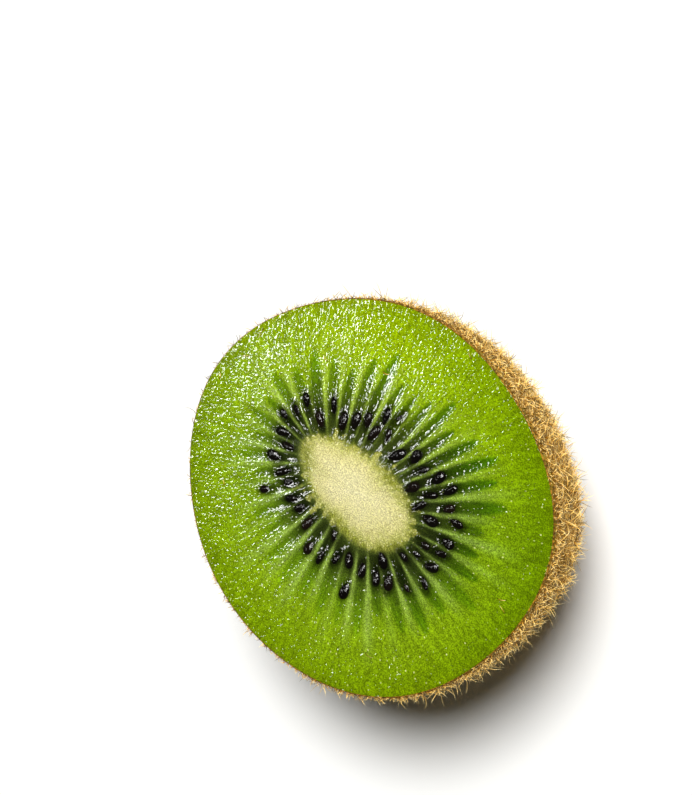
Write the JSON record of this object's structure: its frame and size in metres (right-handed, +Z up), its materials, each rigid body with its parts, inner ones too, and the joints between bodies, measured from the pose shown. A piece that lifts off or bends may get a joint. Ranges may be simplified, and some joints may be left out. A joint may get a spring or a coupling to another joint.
{
  "type": "kiwi fruit half",
  "caption": "Half of a kiwi fruit with its oval cut face up: green flesh, pale core, ring of black seeds and fuzzy brown skin.",
  "frame": {"origin": "middle of the small flat at the stalk end that the half rests on", "axes": "+Z up, out of the cut face; +X along the long axis of the oval face, towards the core's blunt end; +Y along the short axis, where the seed chambers are most crowded"},
  "size_m": [0.0534, 0.0481, 0.0346],
  "materials": {
    "flesh": "wet green cut flesh, slightly translucent",
    "core": "pale fine-grained core, moist",
    "seed": "black-brown glossy seed coat",
    "skin": "thin brown papery skin with dark pores",
    "fuzz": "fine stiff golden brown hairs",
    "stalk_scar": "dry woody stalk scar"
  },
  "bodies": {
    "root": {"kiwi_half": "flesh"}
  },
  "joints": []
}
